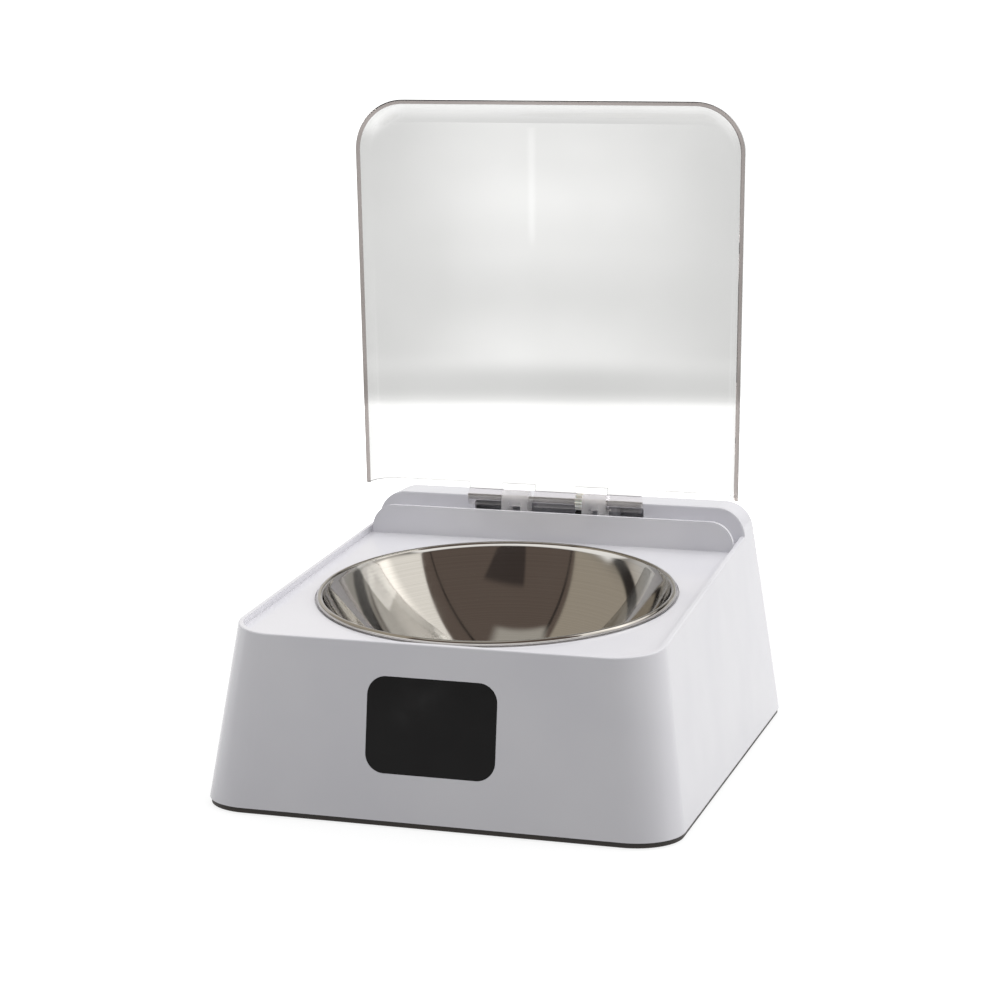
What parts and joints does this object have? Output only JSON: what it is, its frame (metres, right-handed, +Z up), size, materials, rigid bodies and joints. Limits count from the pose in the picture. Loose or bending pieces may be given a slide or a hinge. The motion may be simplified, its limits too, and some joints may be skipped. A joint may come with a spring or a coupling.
{
  "type": "lidded pet feeder",
  "caption": "Pet feeder: a tapered plastic housing holds a steel bowl under a clear hinged lid, driven by a geared motor behind a dark sensor window.",
  "frame": {"origin": "on the floor under the middle of the footprint", "axes": "+X the feeder's right as seen from the front, -Y its front, +Z up; the lid stands open at rest"},
  "size_m": [0.24, 0.274, 0.341],
  "materials": {
    "light_plastic": "moulded, satin gloss",
    "black_plastic": "moulded, fine grain",
    "window_plastic": "polished, dark tinted",
    "clear_plastic": "clear, polished",
    "rubber": "matte",
    "bowl_steel": "polished",
    "steel": "plain",
    "white_nylon": "moulded",
    "black_nylon": "moulded",
    "box_plastic": "moulded",
    "brass": "plain",
    "circuit_board": "green lacquer",
    "chip": "moulded",
    "socket_plastic": "moulded",
    "capacitor": "sleeved",
    "diode_clear": "clear lens",
    "diode_dark": "dark lens",
    "cell": null,
    "lead_black": "insulated"
  },
  "bodies": {
    "feeder_body": {"housing": "light_plastic", "base_plate": "black_plastic", "battery_door": "black_plastic", "sensor_window": "window_plastic", "rubber_feet": "rubber", "housing_screws": "steel", "battery_door_screw": "steel", "hinge_bracket_left": "clear_plastic", "hinge_bracket_right": "clear_plastic", "bracket_screws": "steel", "idler_axle": "steel", "gearbox_body": "box_plastic", "gearbox_cover": "box_plastic", "gear_axle": "steel", "shaft_bushings": "brass", "gearbox_screws": "steel", "gearbox_mount_screws": "steel", "motor_can": "steel", "motor_end_cap": "box_plastic", "motor_screws": "steel", "sensor_board": "circuit_board", "sensor_emitter": "diode_clear", "sensor_receiver": "diode_dark", "sensor_hood": "black_plastic", "sensor_socket": "socket_plastic", "sensor_board_screws": "steel", "main_board": "circuit_board", "board_chips": "chip", "board_capacitors": "capacitor", "board_sockets": "socket_plastic", "main_board_screws": "steel", "dc_jack": "black_plastic", "switch_body": "black_plastic", "battery_cells": "cell", "battery_spring": "steel", "battery_contacts": "steel", "sensor_lead": "lead_black", "motor_lead": "lead_black", "battery_lead": "lead_black", "power_lead": "lead_black"},
    "lid_body": {"lid": "clear_plastic", "hinge_shaft": "steel", "lid_pinion": "white_nylon"},
    "idler_body": {"idler_gear": "black_nylon"},
    "output_body": {"drive_gear": "white_nylon", "output_shaft": "steel", "output_gear": "white_nylon"},
    "third_body": {"third_gear": "white_nylon"},
    "second_body": {"second_gear": "white_nylon"},
    "first_body": {"first_gear": "white_nylon"},
    "rotor_body": {"motor_shaft": "steel", "motor_pinion": "brass"},
    "bowl_body": {"bowl": "bowl_steel"},
    "switch_body_moving": {"switch_slider": "black_nylon"}
  },
  "joints": [
    {"name": "lid_hinge", "type": "hinge", "parent": "feeder_body", "child": "lid_body", "pos_m": [0, 0.0916, 0.122], "axis": [1, 0, 0], "range_deg": [0, 92]},
    {"name": "idler_spin", "type": "hinge", "parent": "feeder_body", "child": "idler_body", "pos_m": [0, 0.09405, 0.10809], "axis": [1, 0, 0], "range_deg": [-39.6, 0]},
    {"name": "output_spin", "type": "hinge", "parent": "feeder_body", "child": "output_body", "pos_m": [0, 0.09608, 0.08496], "axis": [1, 0, 0], "range_deg": [0, 29.2]},
    {"name": "third_spin", "type": "hinge", "parent": "feeder_body", "child": "third_body", "pos_m": [0, 0.10022, 0.07357], "axis": [1, 0, 0], "range_deg": [-87.4, 0]},
    {"name": "second_spin", "type": "hinge", "parent": "feeder_body", "child": "second_body", "pos_m": [0, 0.09608, 0.08496], "axis": [1, 0, 0], "range_deg": [0, 261.9]},
    {"name": "first_spin", "type": "hinge", "parent": "feeder_body", "child": "first_body", "pos_m": [0, 0.10022, 0.07357], "axis": [1, 0, 0], "range_deg": [-785.2, 0]},
    {"name": "motor_spin", "type": "hinge", "parent": "feeder_body", "child": "rotor_body", "pos_m": [0, 0.09608, 0.06218], "axis": [1, 0, 0], "range_deg": [0, 2354.5]},
    {"name": "bowl_lift", "type": "slide", "parent": "feeder_body", "child": "bowl_body", "axis": [0, -0.0802, 0.9968], "range_m": [0, 0.011]},
    {"name": "switch_slide", "type": "slide", "parent": "feeder_body", "child": "switch_body_moving", "axis": [1, 0, 0], "range_m": [0, 0.004]}
  ],
  "couplings": [
    {"joint": "idler_spin", "follows": "lid_hinge", "ratio": -0.42857},
    {"joint": "output_spin", "follows": "lid_hinge", "ratio": 0.31579},
    {"joint": "third_spin", "follows": "lid_hinge", "ratio": -0.94737},
    {"joint": "second_spin", "follows": "lid_hinge", "ratio": 2.8421},
    {"joint": "first_spin", "follows": "lid_hinge", "ratio": -8.5263},
    {"joint": "motor_spin", "follows": "lid_hinge", "ratio": 25.579}
  ]
}
